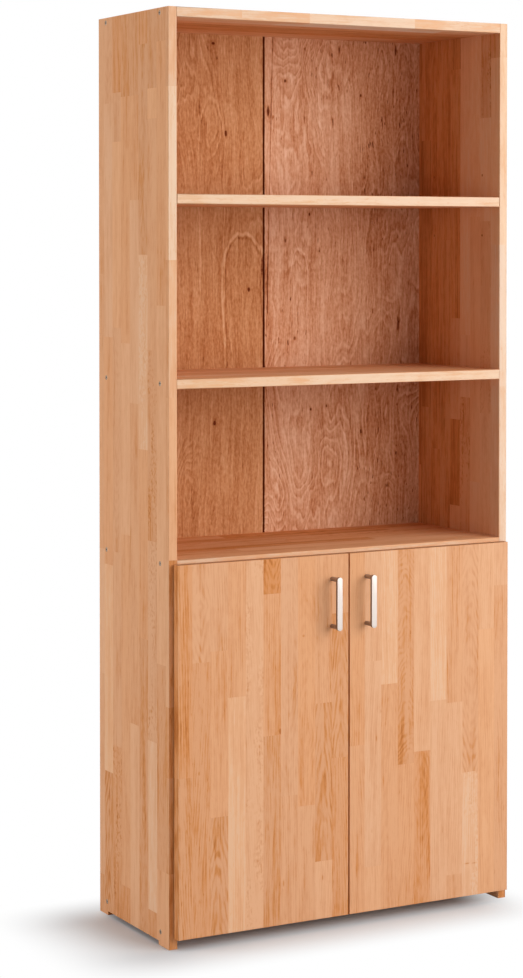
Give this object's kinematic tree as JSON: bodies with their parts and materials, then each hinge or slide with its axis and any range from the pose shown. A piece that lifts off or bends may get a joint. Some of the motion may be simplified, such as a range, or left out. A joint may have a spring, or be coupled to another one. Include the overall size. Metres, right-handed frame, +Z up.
{
  "type": "bookcase",
  "caption": "Tall beech bookcase with open compartments above a cabinet that has hinged slab doors with bar handles.",
  "frame": {"origin": "centre of the whole object's footprint, on the floor", "axes": "+Z up, +Y towards the back, -Y towards whoever opens the doors, +X to their right"},
  "size_m": [0.8, 0.375, 1.856],
  "materials": {
    "beech": "oiled solid beech, glued up from staves",
    "plywood": "lacquered beech plywood",
    "dowel_wood": "plain turned hardwood",
    "satin_metal": "satin",
    "zinc_steel": "bright zinc plate",
    "nickel_steel": "nickel plate",
    "clear_buffer": "soft clear polyurethane"
  },
  "bodies": {
    "carcass": {"left_side_panel": "beech", "right_side_panel": "beech", "bottom_panel": "beech", "cabinet_deck": "beech", "fixed_shelf": "beech", "top_panel": "beech", "back_panel_left": "plywood", "back_panel_right": "plywood", "connecting_screws": "zinc_steel", "carcass_dowels": "dowel_wood", "back_panel_screws": "zinc_steel", "upper_shelf_pins": "zinc_steel", "cabinet_shelf_pins": "zinc_steel", "hinge_plate_screws": "zinc_steel", "hinge_arm_screws": "zinc_steel", "left_upper_hinge_arm": "nickel_steel", "left_upper_hinge_arm_pin": "nickel_steel", "left_upper_hinge_mounting_plate": "nickel_steel", "left_lower_hinge_arm": "nickel_steel", "left_lower_hinge_arm_pin": "nickel_steel", "left_lower_hinge_mounting_plate": "nickel_steel", "right_upper_hinge_arm": "nickel_steel", "right_upper_hinge_arm_pin": "nickel_steel", "right_upper_hinge_mounting_plate": "nickel_steel", "right_lower_hinge_arm": "nickel_steel", "right_lower_hinge_arm_pin": "nickel_steel", "right_lower_hinge_mounting_plate": "nickel_steel"},
    "left_hinge_links": {"left_upper_hinge_link": "nickel_steel", "left_lower_hinge_link": "nickel_steel"},
    "left_door": {"left_door_panel": "beech", "left_door_bumpers": "clear_buffer", "left_handle_bar": "satin_metal", "left_handle_upper_post": "satin_metal", "left_handle_lower_post": "satin_metal", "left_handle_screws": "zinc_steel", "left_hinge_cup_screws": "zinc_steel", "left_upper_hinge_cup": "nickel_steel", "left_upper_hinge_cup_pin": "nickel_steel", "left_lower_hinge_cup": "nickel_steel", "left_lower_hinge_cup_pin": "nickel_steel"},
    "right_hinge_links": {"right_upper_hinge_link": "nickel_steel", "right_lower_hinge_link": "nickel_steel"},
    "right_door": {"right_door_panel": "beech", "right_door_bumpers": "clear_buffer", "right_handle_bar": "satin_metal", "right_handle_upper_post": "satin_metal", "right_handle_lower_post": "satin_metal", "right_handle_screws": "zinc_steel", "right_hinge_cup_screws": "zinc_steel", "right_upper_hinge_cup": "nickel_steel", "right_upper_hinge_cup_pin": "nickel_steel", "right_lower_hinge_cup": "nickel_steel", "right_lower_hinge_cup_pin": "nickel_steel"},
    "upper_shelf": {"upper_shelf": "beech"},
    "cabinet_shelf": {"cabinet_shelf": "beech"}
  },
  "joints": [
    {"name": "left_link_swing", "type": "hinge", "parent": "carcass", "child": "left_hinge_links", "pos_m": [-0.368, -0.132, 0.392], "axis": [0, 0, -1], "range_deg": [-38.9, 0]},
    {"name": "left_door_swing", "type": "hinge", "parent": "left_hinge_links", "child": "left_door", "pos_m": [-0.3824, -0.1391, 0.392], "axis": [0, 0, -1], "range_deg": [0, 138.8]},
    {"name": "right_link_swing", "type": "hinge", "parent": "carcass", "child": "right_hinge_links", "pos_m": [0.368, -0.132, 0.392], "axis": [0, 0, 1], "range_deg": [-38.9, 0]},
    {"name": "right_door_swing", "type": "hinge", "parent": "right_hinge_links", "child": "right_door", "pos_m": [0.3824, -0.1391, 0.392], "axis": [0, 0, 1], "range_deg": [0, 138.8]},
    {"name": "upper_shelf_lift", "type": "slide", "parent": "carcass", "child": "upper_shelf", "axis": [0, 0, 1], "range_m": [0, 0.064]},
    {"name": "cabinet_shelf_lift", "type": "slide", "parent": "carcass", "child": "cabinet_shelf", "axis": [0, 0, 1], "range_m": [0, 0.064]}
  ],
  "couplings": [
    {"joint": "left_link_swing", "follows": "left_door_swing", "ratio": -0.27954},
    {"joint": "right_link_swing", "follows": "right_door_swing", "ratio": -0.27954}
  ]
}
